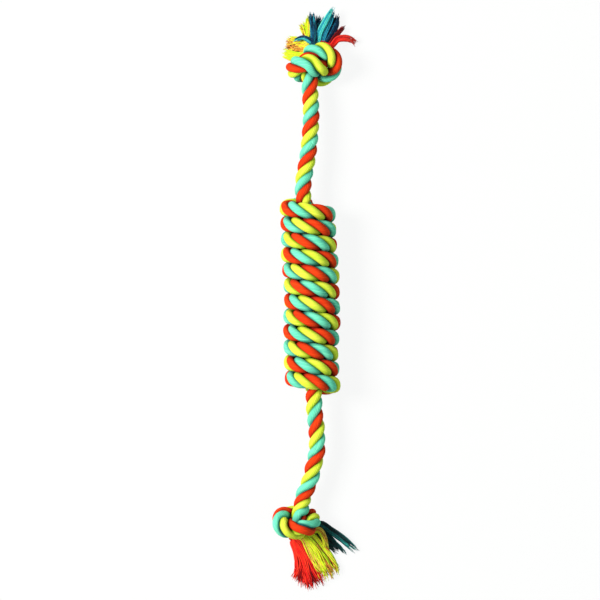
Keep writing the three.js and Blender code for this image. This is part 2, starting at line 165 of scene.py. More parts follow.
LOWER = {
    "name": "lower",
    "turn": -1,
    "knot_at": (12.9, 96.5),
    "sway": [(-1, 0), (-1.2, 0.16), (-2.2, 0.28), (-2.5, 0.43), (-2.3, 0.55), (0, 0.68), (3, 0.84)],
    "knot": [
        (-0.42, -1.5, 0.05), (-0.3, -0.9, 0.15), (-0.28, -0.4, -0.13), (-0.37, 0.08, -0.25),
        (-0.25, 0.55, 0.02), (0.22, 0.78, 0.43), (0.8, 0.63, 0.8), (1.18, 0.03, 0.88), (1.08, -0.52, 0.28),
        (0.55, -0.82, -0.53), (-0.2, -0.87, -0.92), (-0.88, -0.65, -0.67), (-1.08, -0.28, 0.17),
        (-0.78, 0.1, 0.82), (-0.27, 0.22, 1.18), (0.2, 0, 0.95), (0.42, 0.02, 0.27), (0.4, 0.05, -0.43),
        (0.26, 0.46, -0.87), (-0.12, 0.85, -0.85),
    ],
    "snug": (0.84, 0.73, 0.88),
    "ease": {1: (0.02, 0, 0.15), 2: (0.16, 0.04, 0.6), 3: (0.18, -0.1, 0.35), 9: (0, 0.18, 0),
             10: (0, 0.2, 0), 11: (0, 0.16, 0), 12: (0, 0.26, 0), 13: (0, 0.24, 0), 14: (0, 0.13, 0),
             15: (-0.05, 0.22, -0.15), 16: (0, 0.2, -0.2)},
    "girth": [(67, 12), (81, 11.6)],
    "lay": [(-130, -5.2), (3, 0.11), (19.5, 0.75), (44, 1.73), (73, 2.75), (87, 3.45), (104, 3.72),
            (118.5, 3.9), (128, 4.3), (139, 4.7), (148, 4.95), (160, 5.64), (166, 5.99), (175, 6.18),
            (182, 6.31), (190, 6.44), (216, 7.36)],
    "tufts": [
        {"name": "teal_side", "colour": "teal", "root": (-4.3, 2.1), "locks": [
            {"way": [(-0.5, -0.3), (-0.78, -0.38), (-1.1, -0.14), (-1.5, 0.17), (-1.98, 0.57)],
             "height": 3.0, "width": 5.6, "depth": 3.8, "tones": (0.2, 0.12, 0.05), "tip": 0.5,
             "curl": 0.6},
        ]},
        {"name": "teal_top", "colour": "teal", "root": (-4.3, -2.1), "locks": [
            {"way": [(-0.5, -0.12), (-0.78, 0.0), (-1.04, 0.24), (-1.42, 0.6)], "height": 2.2, "width": 8.0,
             "depth": 3.6, "tones": (0.08, 0.04, 0.02), "curl": 0.6},
            {"way": [(-0.5, -0.2), (-0.85, -0.12), (-1.2, 0.2), (-1.64, 0.7)], "height": 2.0, "width": 2.4,
             "depth": 2.4, "tones": (0.2, 0.15, 0.1), "tip": 0.15, "curl": 0.6},
        ]},
        {"name": "yellow_end", "colour": "yellow", "root": (0, 2.1), "locks": [
            {"way": [(-0.14, 0.1), (-0.36, 0.56), (-0.83, 1.46)], "height": 3.4, "width": 5.6, "depth": 5.0,
             "tones": (0.7, 0.5, 0.35), "curl": 1.2, "rise": 3.0, "mixed": 0.32},
            {"way": [(-0.2, 0.06), (-0.58, 0.5), (-1.08, 1.54)], "height": 3.6, "width": 7.0, "depth": 5.4,
             "tones": (0.45, 0.7, 0.9), "curl": 1.1, "rise": 3.5, "mixed": 0.32},
            {"way": [(-0.4, -0.02), (-0.8, 0.42), (-1.36, 1.36)], "height": 3.0, "width": 5.6, "depth": 5.0,
             "tones": (0.85, 0.65, 0.35), "curl": 1.2, "mixed": 0.35},
            {"way": [(-0.41, -0.12), (-0.69, -0.18), (-0.9, 0.13), (-0.98, 0.42)], "height": 8.0,
             "width": 4.4, "depth": 3.6, "tones": (0.5, 0.6, 0.75), "curl": 0.5, "rise": 2.0},
        ]},
        {"name": "red_end", "colour": "red", "root": (4.9, -1.5), "locks": [
            {"way": [(0.24, 0.2), (0.06, 0.8), (0.08, 1.3), (0.2, 1.56)], "height": 3.0, "width": 5.5,
             "depth": 5.0, "tones": (0.6, 0.7, 0.8), "curl": 1.0, "mixed": 0.25},
            {"way": [(0.2, 0.2), (-0.02, 0.8), (-0.06, 1.78)], "height": 2.4, "width": 6.0, "depth": 4.0,
             "tones": (0.6, 0.5, 0.6), "curl": 0.8, "mixed": 0.25},
            {"way": [(0.16, 0.2), (-0.12, 0.85), (-0.34, 1.9)], "height": 3.4, "width": 8.0, "depth": 5.4,
             "tones": (0.5, 0.75, 0.65), "curl": 1.0, "mixed": 0.28},
            {"way": [(0.06, 0.2), (-0.3, 0.8), (-0.7, 1.78)], "height": 3.2, "width": 8.0, "depth": 5.0,
             "tones": (0.7, 0.6, 0.5), "curl": 1.0, "mixed": 0.28},
        ]},
    ],
}


# Lines, as rows of points. A smooth one has so many points for each place that it goes through.
PER_PLACE = 24


def unit(vectors):
    return vectors / np.linalg.norm(vectors, axis=-1, keepdims=True)


def catmull(points):
    """Smooth line through points: centripetal Catmull-Rom."""
    p = np.asarray(points, float)
    p = np.vstack([2 * p[0] - p[1], p, 2 * p[-1] - p[-2]])
    out = []
    for a, b, c, d in zip(p[:-3], p[1:-2], p[2:-1], p[3:]):
        t1 = np.linalg.norm(b - a) ** 0.5
        t2 = t1 + np.linalg.norm(c - b) ** 0.5
        t3 = t2 + np.linalg.norm(d - c) ** 0.5
        t = np.linspace(t1, t2, PER_PLACE, endpoint=False)[:, None]
        ab = (t1 - t) / t1 * a + t / t1 * b
        bc = (t2 - t) / (t2 - t1) * b + (t - t1) / (t2 - t1) * c
        cd = (t3 - t) / (t3 - t2) * c + (t - t2) / (t3 - t2) * d
        abc = (t2 - t) / t2 * ab + t / t2 * bc
        bcd = (t3 - t) / (t3 - t1) * bc + (t - t1) / (t3 - t1) * cd
        out.append((t2 - t) / (t2 - t1) * abc + (t - t1) / (t2 - t1) * bcd)
    return np.vstack(out + [p[-2:-1]])


def lengths(line):
    """How far along a line each of its points lies."""
    return np.concatenate([[0], np.cumsum(np.linalg.norm(np.diff(line, axis=0), axis=1))])


def spaced(line, step, start=0.0, stop=None):
    """Points an even step apart along a line, from start to stop."""
    along = lengths(line)
    stop = along[-1] if stop is None else stop
    at = np.linspace(start, stop, int(round((stop - start) / step)) + 1)
    return np.stack([np.interp(at, along, line[:, k]) for k in range(3)], 1)


def headings(line):
    """Which way a line goes at each of its points."""
    return unit(np.gradient(line, axis=0))


def square_to(ahead, directions):
    """Directions brought square to the headings of a line."""
    return unit(directions - (directions * ahead).sum(1)[:, None] * ahead)


def carried(line, first):
    """A side direction carried along a line without twist."""
    sides = np.empty_like(line)
    side = np.asarray(first, float)
    for i, ahead in enumerate(headings(line)):
        side = unit(side - side.dot(ahead) * ahead)
        sides[i] = side
    return sides


def smooth(x, low, high):
    """Zero up to low, one from high on, and a soft step between."""
    x = np.clip((np.asarray(x, float) - low) / (high - low), 0, 1)
    return x * x * (3 - 2 * x)


# Materials. A node's input is linked where it is given another node's output, and is a constant otherwise.
# A mix node keeps its colours at these inputs and this output.
MIX_FACTOR = 0
MIX_FIRST = 6
MIX_SECOND = 7
MIX_COLOUR = 2


def feed(tree, made, inputs):
    for key, value in inputs.items():
        if isinstance(value, bpy.types.NodeSocket):
            tree.links.new(value, made.inputs[key])
        else:
            made.inputs[key].default_value = value


def node(tree, kind, inputs=None, **settings):
    made = tree.nodes.new(kind)
    for key, value in settings.items():
        setattr(made, key, value)
    feed(tree, made, inputs or {})
    return made


def maths(tree, operation, *terms):
    return node(tree, "ShaderNodeMath", dict(enumerate(terms)), operation=operation).outputs[0]


def noise(tree, where, scale, detail, roughness=0.5):
    inputs = {"Vector": where, "Scale": scale, "Detail": detail, "Roughness": roughness}
    return node(tree, "ShaderNodeTexNoise", inputs).outputs["Fac"]


def blend_colour(tree, factor, a, b):
    """Mix of two colours, each an output or a tuple of red, green and blue."""
    a, b = ((*colour, 1) if isinstance(colour, tuple) else colour for colour in (a, b))
    inputs = {MIX_FACTOR: factor, MIX_FIRST: a, MIX_SECOND: b}
    return node(tree, "ShaderNodeMix", inputs, data_type="RGBA").outputs[MIX_COLOUR]


def new_material(name, finish):
    made = bpy.data.materials.new(name)
    made.use_nodes = True
    shader = made.node_tree.nodes["Principled BSDF"]
    feed(made.node_tree, shader, finish)
    return made, made.node_tree, shader


def dress(tree, shader, colour, height, strength, distance):
    """Links a shader's colour, and a bump from a height."""
    bump = node(tree, "ShaderNodeBump", {"Strength": strength, "Distance": distance, "Height": height})
    feed(tree, shader, {"Base Color": colour, "Normal": bump.outputs[0]})


# Laid cotton: yarns round a strand, their slant to it, and how stretched their fibres are
YARNS = 14
SLANT = 0.87
FIBRE_ACROSS = 3.0
FIBRE_ALONG = 1.6
# What each detail adds to the tone, which starts below zero, and to the height of the surface
TONE_START = -0.37
# the ridge's share of the tone is painted shade between yarns
TONE_RIDGE_SHADE = 0.34
TONE_YARN = 0.36
TONE_FIBRE = 0.9
TONE_DYE = 0.36
RIDGE_HEIGHT = 0.7
FIBRE_HEIGHT = 0.5
# Painted shade: where a strand turns into its groove, in turns from its outer side, its colour goes over to
# the groove shade
GROOVE_SHADE_FROM = 0.16
GROOVE_SHADE_FULL = 0.30
# What the grain of loose yarn adds to its tone
TONE_GRAIN = 0.5


def cotton(name, lit, deep, groove_shade):
    """Laid cotton: yarns lying along the rope, with fibres and uneven dye, and painted shade between yarns,
    in grooves and in creases.
    """
    made, tree, shader = new_material(name, {
        "Roughness": 0.92, "Specular IOR Level": 0.15,
        "Sheen Weight": 0.2, "Sheen Roughness": 0.55, "Sheen Tint": (*lit, 1)})
    uv = node(tree, "ShaderNodeUVMap", uv_map="yarn").outputs[0]
    u, v = node(tree, "ShaderNodeSeparateXYZ", {0: uv}).outputs[:2]
    slanted = maths(tree, "MULTIPLY", v, YARNS * SLANT)
    across = maths(tree, "ADD", maths(tree, "MULTIPLY", u, YARNS), slanted)
    # the ridge is one on the middle of a yarn and zero between two yarns; in the tone it paints shade
    # between yarns
    centred = maths(tree, "SUBTRACT", maths(tree, "FRACT", across), 0.5)
    ridge = maths(tree, "MULTIPLY_ADD", maths(tree, "MULTIPLY", centred, centred), -4.0, 1.0)
    own = node(tree, "ShaderNodeTexWhiteNoise", {"W": maths(tree, "FLOOR", across)}, noise_dimensions="1D")
    lengthwise = node(tree, "ShaderNodeCombineXYZ", {
        0: maths(tree, "MULTIPLY", across, FIBRE_ACROSS), 1: maths(tree, "MULTIPLY", v, FIBRE_ALONG)})
    fibre = noise(tree, lengthwise.outputs[0], scale=1.0, detail=4.0, roughness=0.65)
    dye = noise(tree, node(tree, "ShaderNodeTexCoord").outputs["Object"], scale=90.0, detail=2.0)
    tone = TONE_START
    for detail, share in ((ridge, TONE_RIDGE_SHADE), (own.outputs["Value"], TONE_YARN), (fibre, TONE_FIBRE),
                          (dye, TONE_DYE)):
        tone = maths(tree, "MULTIPLY_ADD", detail, share, tone)
    tone = maths(tree, "MINIMUM", maths(tree, "MAXIMUM", tone, 0.0), 1.0)
    # painted shade: towards the groove and in creases the colour goes over to the groove shade
    turned = maths(tree, "ABSOLUTE", maths(tree, "SUBTRACT", u, 0.5))
    into = node(tree, "ShaderNodeMapRange", interpolation_type="SMOOTHSTEP")
    feed(tree, into, {"Value": turned, "From Min": GROOVE_SHADE_FROM, "From Max": GROOVE_SHADE_FULL})
    crease_shade = node(tree, "ShaderNodeAttribute", attribute_name="crease_shade").outputs["Fac"]
    shade_mask = maths(tree, "MAXIMUM", into.outputs["Result"], crease_shade)
    colour = blend_colour(tree, shade_mask, blend_colour(tree, tone, deep, lit), groove_shade)
    fuzz = maths(tree, "MULTIPLY", fibre, FIBRE_HEIGHT)
    height = maths(tree, "ADD", maths(tree, "MULTIPLY", ridge, RIDGE_HEIGHT), fuzz)
    dress(tree, shader, colour, height, strength=0.55, distance=0.00035)
    return made


def yarn(name, ramp):
    """Loose cotton yarn, its tone read from the mesh, with a fine grain."""
    made, tree, shader = new_material(name, {
        "Roughness": 0.95, "Specular IOR Level": 0.1, "Sheen Weight": 0.15})
    tone = node(tree, "ShaderNodeAttribute", attribute_name="tone").outputs["Fac"]
    grain = noise(tree, node(tree, "ShaderNodeTexCoord").outputs["Object"], scale=700.0, detail=3.0)
    uneven = maths(tree, "MULTIPLY_ADD", maths(tree, "SUBTRACT", grain, 0.5), TONE_GRAIN, tone)
    shade = node(tree, "ShaderNodeValToRGB", {"Fac": uneven})
    stops = shade.color_ramp.elements
    for stop, (at, colour) in zip(stops, (ramp[0], ramp[-1])):
        stop.position = at
        stop.color = (*colour, 1)
    for at, colour in ramp[1:-1]:
        stops.new(at).color = (*colour, 1)
    dress(tree, shader, shade.outputs["Color"], grain, strength=0.5, distance=0.0002)
    return made


# Colours of the strands: in the light; deep, for uneven dye and for painted shade between yarns;
# and the painted shade of grooves and creases
ROPE_COLOURS = [
    cotton("rope_red", (1.0, 0.07, 0.008), (0.60, 0.008, 0.002), (0.20, 0.002, 0.002)),
    cotton("rope_turquoise", (0.25, 0.98, 0.65), (0.03, 0.40, 0.32), (0.004, 0.09, 0.10)),
    cotton("rope_yellow", (1.0, 1.0, 0.10), (0.48, 0.78, 0.006), (0.13, 0.30, 0.002)),
]
# Colours of loose yarn at its tones, and the part's slot for each; the dark tones are partly painted shade
YARN = {
    "yellow": yarn("yarn_yellow", [
        (0.0, (0.24, 0.08, 0.01)), (0.2, (0.80, 0.30, 0.04)), (0.42, (0.92, 0.62, 0.10)),
        (0.6, (0.84, 0.80, 0.03)), (1.0, (0.66, 0.92, 0.02))]),
    "teal": yarn("yarn_teal", [
        (0.0, (0.001, 0.012, 0.016)), (0.3, (0.003, 0.055, 0.065)), (0.6, (0.015, 0.24, 0.24)),
        (1.0, (0.16, 0.78, 0.64))]),
    "blue": yarn("yarn_blue", [
        (0.0, (0.002, 0.008, 0.035)), (0.25, (0.004, 0.06, 0.13)), (0.55, (0.02, 0.28, 0.46)),
        (0.8, (0.05, 0.55, 0.55)), (1.0, (0.20, 0.86, 0.66))]),
    "red": yarn("yarn_red", [
        (0.0, (0.09, 0.001, 0.004)), (0.35, (0.40, 0.004, 0.006)), (0.65, (0.85, 0.01, 0.012)),
        (1.0, (1.0, 0.05, 0.02))]),
}


# Meshes
def tube_faces(rings, sides, base):
    """Faces of a tube: where each side lies along and around it, the sides, and both caps."""
    i, j = np.meshgrid(np.arange(rings - 1), np.arange(sides), indexing="ij")
    i, j = i.ravel(), j.ravel()
    here, ahead, beside = i * sides, (i + 1) * sides, (j + 1) % sides
    quads = np.stack([here + j, here + beside, ahead + beside, ahead + j], 1) + base
    first = list(range(base + sides - 1, base - 1, -1))
    last = list(range(base + (rings - 1) * sides, base + rings * sides))
    return i, j, quads.tolist(), [first, last]


def add_mesh(name, points, faces, materials, slots):
    """A mesh of points in millimetres, smooth but for the caps of its tubes."""
    mesh = bpy.data.meshes.new(name)
    mesh.from_pydata((points * MM).tolist(), [], faces)
    for material in materials:
        mesh.materials.append(material)
    mesh.polygons.foreach_set("material_index", slots)
    mesh.polygons.foreach_set("use_smooth", [len(face) <= 4 for face in faces])
    mesh.update()
    return add_object(name, mesh)


def set_values(made, name, values):
    layer = made.data.attributes.new(name, "FLOAT", "POINT")
    layer.data.foreach_set("value", values.astype(np.float32))


# Ropes. A strand's radius is a share of the rope's. Rows that press on each other are flatter than round
# rope, and squarer: 2 is round. Each rope's points and their outward directions, and the middles of all
# strands, are kept for the painted shade in creases.
STRANDS = 3
STRAND = 0.478
SIDES = 16
ROW_FLAT = 0.93
SQUARE = 2.5
ROPE_OVER_FLOOR = 0.15
ropes = []
strand_lines = []


def squared(rings, line, out, side):
    """Rings of a rope that its neighbours press on."""
    local = rings - line[:, None]
    across = (local * side[:, None]).sum(2, keepdims=True)
    rise = (local * out[:, None]).sum(2, keepdims=True)
    square = (np.abs(across) ** SQUARE + np.abs(rise) ** SQUARE) ** (1 / SQUARE)
    fuller = np.hypot(across, rise) / square - 1
    return rings + (fuller - (1 - ROW_FLAT) * 0.5) * across * side[:, None] + fuller * rise * out[:, None]


def rope_piece(name, line, out, radius, lay, order=1, pressed=False):
    """Three strands laid round a line, in millimetres. Order is -1 where the line runs against the rope."""
    ahead = headings(line)
    out = square_to(ahead, out)
    side = np.cross(ahead, out)
    radius = radius[:, None]
    flat = ROW_FLAT if pressed else 1.0
    angle = (math.pi + 2 * math.pi * np.arange(SIDES) / SIDES)[None, :, None]
    points, outward, faces, slots, uvs = [], [], [], [], []
    for k in range(STRANDS):
        turned = (lay + order * k * 2 * math.pi / STRANDS)[:, None]
        away = np.cos(turned) * out + np.sin(turned) * side * flat
        middle = line + (1 - STRAND) * radius * away
        strand_ahead = headings(middle)
        strand_out = square_to(strand_ahead, away)
        strand_side = np.cross(strand_ahead, strand_out)
        around = np.cos(angle) * strand_out[:, None] + np.sin(angle) * strand_side[:, None]
        rings = middle[:, None] + STRAND * radius[:, None] * around
        if pressed:
            rings = squared(rings, line, out, side)
        strand_lines.append(middle)
        points.append(rings.reshape(-1, 3))
        outward.append(around.reshape(-1, 3))
        i, j, quads, caps = tube_faces(len(line), SIDES, k * len(line) * SIDES)
        faces += quads + caps
        slots += [k] * (len(quads) + len(caps))
        v = lengths(middle) / (math.pi * STRAND * ROPE)
        left, right, here, beyond = j / SIDES, (j + 1) / SIDES, v[i], v[i + 1]
        uvs.append(np.stack([left, here, right, here, right, beyond, left, beyond], 1).reshape(-1, 2))
        uvs.append(np.zeros((len(caps) * SIDES, 2)))
    points = np.vstack(points)
    points[:, 2] = np.maximum(points[:, 2], ROPE_OVER_FLOOR)
    made = add_mesh(name, points, faces, ROPE_COLOURS, slots)
    layer = made.data.uv_layers.new(name="yarn")
    layer.data.foreach_set("uv", np.vstack(uvs).astype(np.float32).ravel())
    ropes.append((made, points, np.vstack(outward)))
    return made


def placed(points, end):
    """Points of an end's own frame in the part's."""
    return points * np.array([end["turn"], end["turn"], 1.0])


def rope_line(end, soft=False):
    """Middle of one end's rope from the barrel's mouth through the knot, in that end's own frame."""
    right, ahead = end["knot_at"]
    lowest = min(place[2] for place in end["knot"])
    knot_z = KNOT_SOLID / 2 - lowest * ROPE - KNOT_FLOOR_CUT
    start = ahead + end["knot"][0][1] * ROPE
    tail = [(x, TOP + MOUTH_OUT + (start - MOUTH_OUT) * share, MOUTH + (knot_z - MOUTH) * share)
            for x, share in end["sway"]]
    knot = [np.array(place) for place in end["knot"]]
    if soft:
        eased = [place * end["snug"] + end["ease"].get(i, (0, 0, 0)) for i, place in enumerate(knot)]
        knot = knot[:1] + eased[1:]
    knot = [(right + x * ROPE, TOP + ahead + y * ROPE, knot_z + z * ROPE) for x, y, z in knot]
    return catmull(tail + knot)


# Inside the barrel the two runs go half round each other, pressed thin, and each swells to full rope before
# the mouth. The stub's places are right, ahead and up from the barrel's end on its axis. The inner stretch
# ends just inside the outer one.
CORE_RADIUS = 3.75
CORE_APART = 3.6
CORE_POINTS = 15
STUB = [(0, -8, 3.4), (-1.2, -1, 2.6)]
SWELL_FROM = -11
SWELL_TO = -1
OVERLAP = 1.5
SLEEVE = 0.04
SLEEVE_LENGTH = 1.4
ROUTE_STEP = 4.0
INNER_STEP = 0.8
OUTER_STEP = 0.7


def end_ropes(end):
    """One end's rope: out of the barrel to the middle of the tail, then on through the knot."""
    line = rope_line(end, soft=True)
    runs = np.linspace(-1, 1, CORE_POINTS)
    turn = np.pi * (runs + 1) / 2 - np.pi
    inside = np.stack([-CORE_APART * np.sin(turn), runs * (TOP - CORE_END), CORE_APART * np.cos(turn)], 1)
    inside = np.vstack([inside[:-1], np.array(STUB) + (0, TOP, 0)]) + (0, 0, AXIS)
    route = np.vstack([inside, spaced(line, ROUTE_STEP, 0.0, MIDDLE + OVERLAP)])
    inner = spaced(catmull(route), INNER_STEP)
    inner_at = lengths(inner)
    inner_at = inner_at - inner_at[-1] + MIDDLE + OVERLAP
    inner_radius = CORE_RADIUS + (ROPE / 2 - CORE_RADIUS) * smooth(inner_at, SWELL_FROM, SWELL_TO)
    inner_radius = inner_radius * (1 - SLEEVE * smooth(inner_at, MIDDLE, MIDDLE + SLEEVE_LENGTH))
    outer = spaced(line, OUTER_STEP, MIDDLE)
    outer_at = MIDDLE + lengths(outer)
    outer_radius = np.interp(outer_at, *np.array(end["girth"]).T) / 2
    # the side direction is carried both ways from where the two stretches meet
    outer_out = carried(outer, (1, 0, 0))
    meet = int(np.argmin(np.abs(inner_at - MIDDLE)))
    backward, forward = carried(inner[meet::-1], outer_out[0]), carried(inner[meet:], outer_out[0])
    inner_out = np.vstack([backward[::-1], forward[1:]])
    places, turns = np.array(end["lay"]).T
    made = []
    for part, path, out, at, radius in (("inner", inner, inner_out, inner_at, inner_radius),
                                        ("outer", outer, outer_out, outer_at, outer_radius)):
        lay = 2 * np.pi * np.interp(at, places, turns)
        path = placed(path, end)
        name = f"{end['name']}_{part}_rope"
        made.append((rope_piece(name, path, placed(out, end), radius, lay, order=-end["turn"]), path))
    return made


# Winding: hand winding leaves each row, from the top, a little right of or outside its even place. Edge
# counts the strands at each row's left edge, down the rows, and front stretch is how far the lay is drawn
# out in front of each row. A row takes three turns of the lay, and a third more for each strand counted.
ROWS = np.arange(12)
ROW_RIGHT = [-0.9, 0.0, 0.1, 0.0, 0.8, 1.0, 1.0, 1.2, 0.2, -0.1, -0.3, 0.4]
ROW_SWELL = [-0.2, 0.2, 0.1, 0.4, 0.6, 0.3, 0.2, 0.8, 0.5, 0.0, -0.3, 0.0]
EDGE = [0.72, 1.5, 2.57, 3.65, 4.75, 5.9, 7.05, 8.55, 10.1, 11.2, 12.5, 13.65]
FRONT_STRETCH = [0.15, 0.5, 0.45, 0.36, 0.34, 0.34, 0.38, 0.36, 0.4, 0.38, 0.34, -0.05]
EDGE_START = 1.5
EDGE_PAST = 1.1
ROW_LAY = 3
STEPS_PER_TURN = 96
HALF_TURN = np.array([-1.0, -1.0, 1.0])
# Its ends turn in over the last turn to the bore, get thin there and carry on as the two runs.
TUCK_GAP = 0.4
TUCK_DROP = (BORE / 2 - TUCK_GAP) / 2
TUCK_HALF = TUCK_DROP - TUCK_GAP
TUCK_EXTRA = 0.3
TUCK_RADIUS = TUCK_HALF + TUCK_EXTRA
TUCK_STEP = 0.9
TUCK_LEAD = 9
SLIM_FROM = 6
SLIM_TO = 24


def wind():
    """The winding's rope and its line."""
    turn_no = np.linspace(0, TURNS, int(TURNS * STEPS_PER_TURN) + 1)
    row_no = TURNS - turn_no
    angle = 2 * np.pi * row_no - np.pi / 2
    out = np.stack([np.sin(angle), np.zeros_like(angle), np.cos(angle)], 1)
    helix = out * (TURN_RADIUS + np.interp(row_no, ROWS, ROW_SWELL))[:, None]
    helix[:, 0] += np.interp(row_no, ROWS, ROW_RIGHT)
    helix[:, 1] = (turn_no - TURNS / 2) * PITCH
    core_top = TOP - CORE_END
    tuck = catmull([
        helix[-TUCK_LEAD], helix[-1],
        (-0.75 * TURN_RADIUS, TOP + 0.18 * PITCH, -0.68 * TURN_RADIUS),
        (-0.22 * TURN_RADIUS, TOP + 0.36 * PITCH, -0.85 * TURN_RADIUS),
        (0.1 * TURN_RADIUS, TOP + 0.2 * PITCH, -0.57 * TURN_RADIUS),
        (0, core_top + 2 * TUCK_HALF, -TUCK_DROP),
        (0, core_top + TUCK_HALF, -TUCK_DROP),
        (0, core_top, -TUCK_DROP),
    ])
    tuck = spaced(tuck, TUCK_STEP, np.linalg.norm(helix[-1] - helix[-TUCK_LEAD]))[1:]
    tuck_out = carried(np.vstack([helix[-1:], tuck]), out[-1])[1:]
    line = np.vstack([(tuck * HALF_TURN)[::-1], helix, tuck]) + (0, 0, AXIS)
    out = np.vstack([(tuck_out * HALF_TURN)[::-1], out, tuck_out])
    at = lengths(line)
    first, last = len(tuck), len(tuck) + len(helix) - 1
    per_mm = 1 / (2 * np.pi * TURN_RADIUS)
    turn_at = np.interp(at, at[first:last + 1], turn_no)
    turn_at = np.where(at < at[first], (at - at[first]) * per_mm, turn_at)
    turn_at = np.where(at > at[last], TURNS + (at - at[last]) * per_mm, turn_at)
    past = np.maximum(at - at[last], at[first] - at)
    radius = ROPE / 2 + (TUCK_RADIUS - ROPE / 2) * smooth(past, SLIM_FROM, SLIM_TO)
    row = TURNS - turn_at
    count = np.interp(row, ROWS, EDGE)
    count = count + EDGE_PAST * (np.minimum(row, 0) + np.maximum(row - ROWS[-1], 0))
    count = count - np.interp(row - 0.5, ROWS, FRONT_STRETCH) * (1 - np.cos(2 * np.pi * row)) / 2
    lay = 2 * np.pi * ((EDGE_START - count) / STRANDS - ROW_LAY * row)
    return rope_piece("winding_rope", line, out, radius, lay, pressed=True), line


# Painted shade in creases: a place is deep in one where a strand lies close to the point a little way
# out from it.
LOOK_OUT = 2.5
CREASE_OPEN = 1.3
CREASE_DEEP = 0.2


def paint_crease_shade():
    """Painted shade: how deep in a crease each place of the ropes is, evened out between neighbours."""
    middles = np.vstack(strand_lines)
    finder = kdtree.KDTree(len(middles))
    for k, point in enumerate(middles):
        finder.insert(point, k)
    finder.balance()
    for made, points, outward in ropes:
        nearest = [finder.find(point)[2] for point in points + LOOK_OUT * outward]
        gap = np.array(nearest) - STRAND * ROPE / 2
        depth = smooth(-gap, -CREASE_OPEN, -CREASE_DEEP).reshape(STRANDS, -1, SIDES)
        depth = (np.roll(depth, 1, 2) + depth + np.roll(depth, -1, 2)) / 3
        depth[:, 1:-1] = (depth[:, :-2] + depth[:, 1:-1] + depth[:, 2:]) / 3
        set_values(made, "crease_shade", depth.ravel())


for end in (UPPER, LOWER):
    end["line"] = rope_line(end)
    end["ropes"] = end_ropes(end)
winding, winding_line = wind()
paint_crease_shade()
for end in (UPPER, LOWER):
    side = end["name"]
    (inner, inner_line), (outer, outer_line) = end["ropes"]
    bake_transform(inner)
    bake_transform(outer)
    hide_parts(side + "_core_run", side + "_tail")
    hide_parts(side + "_knot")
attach(winding, "barrel")
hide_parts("winding")

# Tufts of yarn past each knot: yarns start inside it, in a bundle as wide as a strand, spread to their
# lock's width and depth, and gather in clumps towards their tips. Some are longer than the rest, and some
# darker, painted shade as if the others shaded them.
UP = np.array([0, 0, 1.0])
GOLDEN = math.pi * (3 - math.sqrt(5))
# A yarn: its radius, its taper from root to tip, and how far it stays off the floor
YARN_SIDES = 5
YARN_RADIUS = (0.34, 0.48)
YARN_TAPER = ([0, 0.85, 1], [1, 0.9, 0.3])
YARN_START_SIDE = (0.31, 0.17, 0.93)
YARN_OVER_FLOOR = 0.1
# A lock: half its width at the root, how far inside the knot it starts, and its yarns for each square
# millimetre of width and depth
STRAND_HALF = 2.0
INSIDE = 6.0
INSIDE_SHARES = np.array([1, 0.66, 0.33])
OUTSIDE_SHARES = np.linspace(0, 1, 22)
LOCK_STEP = 0.5
PAST_TIP = 0.1
FEWEST = 9
DENSITY = 1.5
SPREAD_BY = 0.8
# Clumps of a lock, in shares of its half width and half depth, and from what share of its reach they gather
CLUMPS = 5
CLUMP_REACH = (0.85, 0.6)
CLUMP_PULL = 0.35
CLUMP_FROM = 0.45
# Shares of the lock's reach that yarns are cut at
CUT = (0.84, 1.0)
LONG_CUT = (0.98, 1.06)
LONG_EVERY = 7
# Tones, with some yarns darker as painted shade, as if the others shaded them
SHADED_EVERY = 8
SHADED_FIRST = 3
YARN_SHADE = 0.4
MIXED = 0.15
# Curls: waves along a yarn, how they grow towards its tip, and those up and down beside those across
WAVES = (0.8, 2.2)
CURL_GROWTH = 1.5
LIFT_CURL = 0.6
LIFT_WAVES = 1.3
LIFT_PHASE = 1
# A tuft bends from before its root to past it, in millimetres. The rope's end heads as its last points do.
LAST_POINTS = 4


def tubes(name, lines, radii, tones, material):
    """One mesh of thin round yarns, each with tones along it."""
    points, faces, values = [], [], []
    angle = (2 * np.pi * np.arange(YARN_SIDES) / YARN_SIDES)[None, :, None]
    base = 0
    for line, radius, tone in zip(lines, radii, tones):
        out = carried(line, YARN_START_SIDE)
        side = np.cross(headings(line), out)
        taper = np.interp(np.linspace(0, 1, len(line)), *YARN_TAPER)
        around = np.cos(angle) * out[:, None] + np.sin(angle) * side[:, None]
        points.append((line[:, None] + radius * taper[:, None, None] * around).reshape(-1, 3))
        quads, caps = tube_faces(len(line), YARN_SIDES, base)[2:]
        faces += quads + caps
        values.append(np.repeat(tone, YARN_SIDES))
        base += len(line) * YARN_SIDES
    points = np.vstack(points)
    points[:, 2] = np.maximum(points[:, 2], YARN_OVER_FLOOR)
    made = add_mesh(name, points, faces, [material], [0] * len(faces))
    set_values(made, "tone", np.concatenate(values))
    return made


def lock_line(lock, root, level, last):
    """Middle of a lock, from inside the knot past its tip, and the share of its reach at each point."""
    way = last[:2] + np.array(lock["way"]) * TUFT_REACH
    drop = np.linspace(0, 1, len(way) + 1)[1:]
    height = root[2] + (lock["height"] - root[2]) * drop + lock.get("rise", 0) * np.sin(np.pi * drop)
    middle = spaced(catmull([root - level * INSIDE, root, *np.column_stack([way, height])]), LOCK_STEP)
    at_root = lengths(middle)[np.argmin(np.linalg.norm(middle - root, axis=1))]
    reach = lengths(middle)[-1] - at_root
    middle = np.vstack([middle, middle[-1] + unit(middle[-1] - middle[-2]) * PAST_TIP * reach])
    return middle, (lengths(middle) - at_root) / reach


